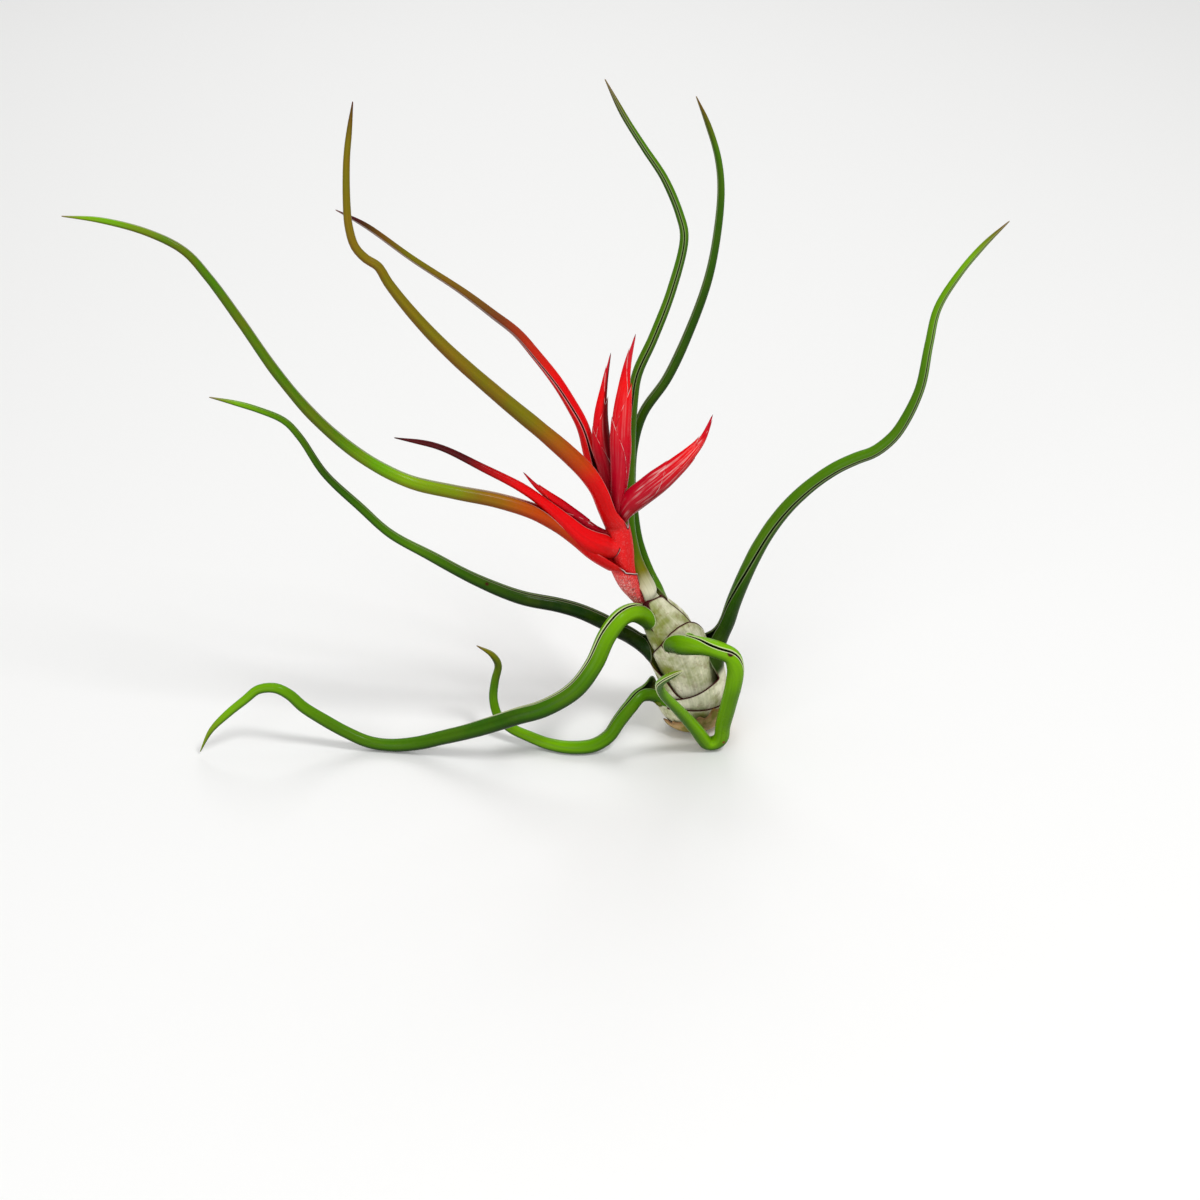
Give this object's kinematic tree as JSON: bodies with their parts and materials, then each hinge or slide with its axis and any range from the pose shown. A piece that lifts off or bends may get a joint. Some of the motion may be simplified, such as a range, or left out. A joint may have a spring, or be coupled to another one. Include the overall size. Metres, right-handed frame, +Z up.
{
  "type": "bulbosa air plant in bloom",
  "caption": "Bulbous air plant with long twisting rolled leaves, red bracts and flattened flower spikes, lying as picked with its bulb on a surface",
  "frame": {"origin": "the middle of the flat spot under the stem, where the bulb rests on the surface", "axes": "+Z up out of the surface, +X to the right and -Y to the front, the side that the curled leaf faces"},
  "size_m": [0.2205, 0.0552, 0.177],
  "materials": {
    "stem": "rough woody stem, brown",
    "dry_sheath": "papery dead sheath, olive to tan",
    "leaf": "fresh smooth leaf, pale at the sheath, bright to deep green along the blade, brown at the tip",
    "bract": "fresh coloured bract, red over orange and olive at its foot, brown at the tip",
    "spike": "fresh floral bracts, crimson to pink with pale streaks"
  },
  "bodies": {
    "root": {"stem": "stem", "dry_sheath": "dry_sheath", "leaf_low_left": "leaf", "leaf_mid_left": "leaf", "leaf_right": "leaf", "leaf_curl": "leaf", "leaf_front_left": "leaf", "leaf_back_right": "leaf", "leaf_back_left": "leaf", "bract_long": "bract", "bract_tall": "bract", "bract_thin": "bract", "bract_short": "bract", "spike_low_left": "spike", "spike_mid_left": "spike", "spike_mid_right": "spike", "spike_right": "spike"}
  },
  "joints": []
}
